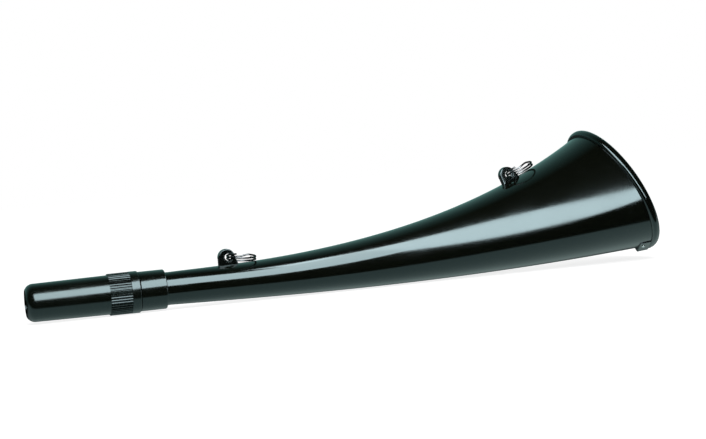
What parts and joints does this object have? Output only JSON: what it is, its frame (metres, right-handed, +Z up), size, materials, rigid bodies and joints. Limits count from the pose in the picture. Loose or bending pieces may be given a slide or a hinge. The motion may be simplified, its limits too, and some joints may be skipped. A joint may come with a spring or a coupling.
{
  "type": "mouth-blown signal horn",
  "caption": "Curved, flared mouth-blown reed horn in black moulded plastic, with a screw-on knurled mouthpiece, a beaded bell rim and strap eyes with split rings.",
  "frame": {"origin": "centre of the blow hole, in the plane of the mouthpiece's end", "axes": "+X along the mouthpiece towards the bell, +Z up on the side of the strap eyes, the horn curving in the XZ plane"},
  "size_m": [0.4008, 0.0892, 0.0856],
  "materials": {
    "shell_black": "glossy moulded",
    "collar_black": "glossy moulded",
    "rim_black": "glossy moulded",
    "eye_black": "satin moulded",
    "mouthpiece_black": "glossy moulded, knurled grip",
    "rivet_steel": "bright",
    "ring_steel": "polished",
    "seal_rubber": "matt",
    "carrier_plastic": "satin moulded",
    "reed_brass": "rolled sheet"
  },
  "bodies": {
    "horn": {"horn_shell": "shell_black", "socket_collar": "collar_black", "bell_rim": "rim_black", "rim_clip": "rim_black", "clip_rivet": "rivet_steel", "rear_eye": "eye_black", "front_eye": "eye_black", "reed_carrier": "carrier_plastic", "reed_shallot": "reed_brass", "tongue_wedge": "carrier_plastic"},
    "seal": {"seal_ring": "seal_rubber"},
    "mouthpiece": {"mouthpiece": "mouthpiece_black"},
    "rear_ring": {"rear_split_ring": "ring_steel"},
    "front_ring": {"front_split_ring": "ring_steel"},
    "tongue": {"reed_tongue": "reed_brass"}
  },
  "joints": [
    {"name": "mouthpiece_travel", "type": "slide", "parent": "horn", "child": "seal", "axis": [-1, 0, 0], "range_m": [0, 0.0105]},
    {"name": "mouthpiece_turn", "type": "hinge", "parent": "seal", "child": "mouthpiece", "pos_m": [0.05145, 0, 0], "axis": [-1, 0, 0], "range_deg": [0, 1260]},
    {"name": "rear_ring_swing", "type": "hinge", "parent": "horn", "child": "rear_ring", "pos_m": [0.12221, 0, 0.0154], "axis": [0, -1, 0], "range_deg": [0, 200]},
    {"name": "front_ring_swing", "type": "hinge", "parent": "horn", "child": "front_ring", "pos_m": [0.30738, 0, 0.04945], "axis": [0, -1, 0], "range_deg": [0, 192.8]},
    {"name": "reed_beat", "type": "hinge", "parent": "horn", "child": "tongue", "pos_m": [0.054, 0, 0.00188], "axis": [0, -1, 0], "range_deg": [-1.5, 2.2], "stiffness_Nm_per_rad": 0.006}
  ],
  "couplings": [
    {"joint": "mouthpiece_turn", "follows": "mouthpiece_travel", "rad_per_m": 2094.4}
  ]
}
